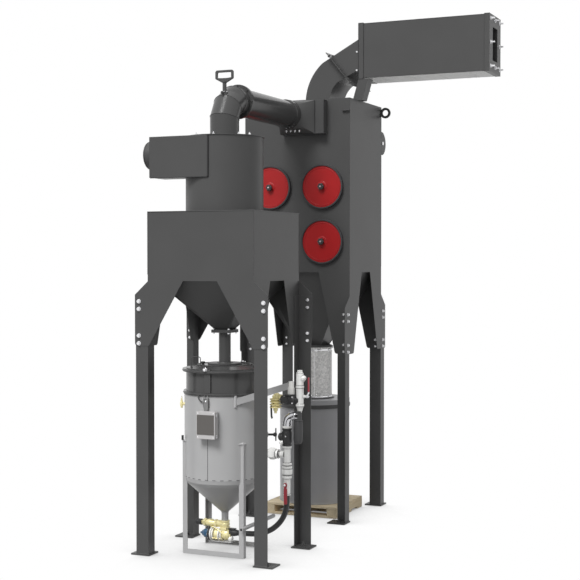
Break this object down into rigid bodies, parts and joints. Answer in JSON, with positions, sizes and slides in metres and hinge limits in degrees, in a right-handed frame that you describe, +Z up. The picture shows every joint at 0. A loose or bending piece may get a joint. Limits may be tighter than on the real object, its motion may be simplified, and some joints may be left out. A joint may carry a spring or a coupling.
{
  "type": "cyclone separator",
  "caption": "Cyclone separator over a blast pot on four angle legs, ducted to a cartridge dust collector with exhaust silencer, dust drum and pallet.",
  "frame": {"origin": "on the floor at the centre of the cyclone's four anchor holes, below the cyclone axis", "axes": "+Z up, +X to the right seen from the front of the cyclone, +Y from the cyclone to the dust collector"},
  "size_m": [2.166, 2.7234, 4.138],
  "materials": {
    "charcoal_coat": "satin powder coat",
    "red_coat": "satin powder coat",
    "black_plastic": "moulded, fine grain",
    "galvanised": "spangled zinc",
    "grey_coat": "smooth light grey paint",
    "drum_grey": "satin paint",
    "timber": "rough sawn",
    "brass": "cast and turned",
    "blue_coat": "satin",
    "bright_steel": "zinc plated, bright",
    "white_plastic": "smooth",
    "black_rubber": "smooth hose cover",
    "red_lever": "dipped coating",
    "perforated_steel": "powder coat, pale perforated underside"
  },
  "bodies": {
    "plant": {"air_pipe": "white_plastic", "air_tank": "charcoal_coat", "blast_hose": "black_rubber", "brass_regulator": "brass", "bright_bend": "bright_steel", "collector_front_panel": "charcoal_coat", "collector_hopper": "charcoal_coat", "collector_inlet": "charcoal_coat", "collector_left_panel": "charcoal_coat", "collector_leg_front_left": "charcoal_coat", "collector_leg_front_right": "charcoal_coat", "collector_leg_rear_left": "charcoal_coat", "collector_leg_rear_right": "charcoal_coat", "collector_rear_panel": "charcoal_coat", "collector_right_panel": "charcoal_coat", "collector_roof": "charcoal_coat", "control_box": "grey_coat", "cover_knobs": "black_plastic", "cyclone_barrel": "charcoal_coat", "cyclone_deck": "charcoal_coat", "cyclone_front_panel": "charcoal_coat", "cyclone_hopper": "charcoal_coat", "cyclone_inlet_box": "charcoal_coat", "cyclone_left_panel": "charcoal_coat", "cyclone_leg_front_left": "charcoal_coat", "cyclone_leg_front_right": "charcoal_coat", "cyclone_leg_rear_left": "charcoal_coat", "cyclone_leg_rear_right": "charcoal_coat", "cyclone_rear_panel": "charcoal_coat", "cyclone_right_panel": "charcoal_coat", "cyclone_roof": "charcoal_coat", "drop_pipe": "charcoal_coat", "drum_lid": "charcoal_coat", "dust_drum": "drum_grey", "dust_sleeve": "galvanised", "exhaust_elbow": "charcoal_coat", "filter_covers": "red_coat", "lifting_eyes": "bright_steel", "metering_valve": "brass", "muffler": "black_plastic", "outlet_elbow": "charcoal_coat", "pallet": "timber", "pilot_block": "black_plastic", "pinch_valve": "black_plastic", "pipe_bracket": "grey_coat", "pot_collar": "charcoal_coat", "pot_lid": "charcoal_coat", "pot_shell": "grey_coat", "pot_stand": "grey_coat", "riser_pipe": "white_plastic", "silencer": "perforated_steel", "silencer_strut": "charcoal_coat", "transfer_duct": "charcoal_coat", "valve_actuator": "blue_coat"},
    "vortex_adjuster": {"vortex_handle": "bright_steel"},
    "lower_valve_lever": {"lower_lever": "red_lever"},
    "upper_valve_lever": {"upper_lever": "red_lever"},
    "handwheel": {"handwheel": "black_plastic"}
  },
  "joints": [
    {"name": "vortex_adjust", "type": "slide", "parent": "plant", "child": "vortex_adjuster", "axis": [0, 0, 1], "range_m": [-0.06, 0.1]},
    {"name": "lower_valve_turn", "type": "hinge", "parent": "plant", "child": "lower_valve_lever", "pos_m": [0.507, -0.04, 0.53], "axis": [0, -1, 0], "range_deg": [-90, 0]},
    {"name": "upper_valve_turn", "type": "hinge", "parent": "plant", "child": "upper_valve_lever", "pos_m": [0.663, 0, 1.177], "axis": [1, 0, 0], "range_deg": [-90, 0]},
    {"name": "handwheel_turn", "type": "hinge", "parent": "plant", "child": "handwheel", "pos_m": [0.34441, 0.15334, 0.866], "axis": [0.9135, 0.4067, 0], "range_deg": [-270, 450]}
  ]
}
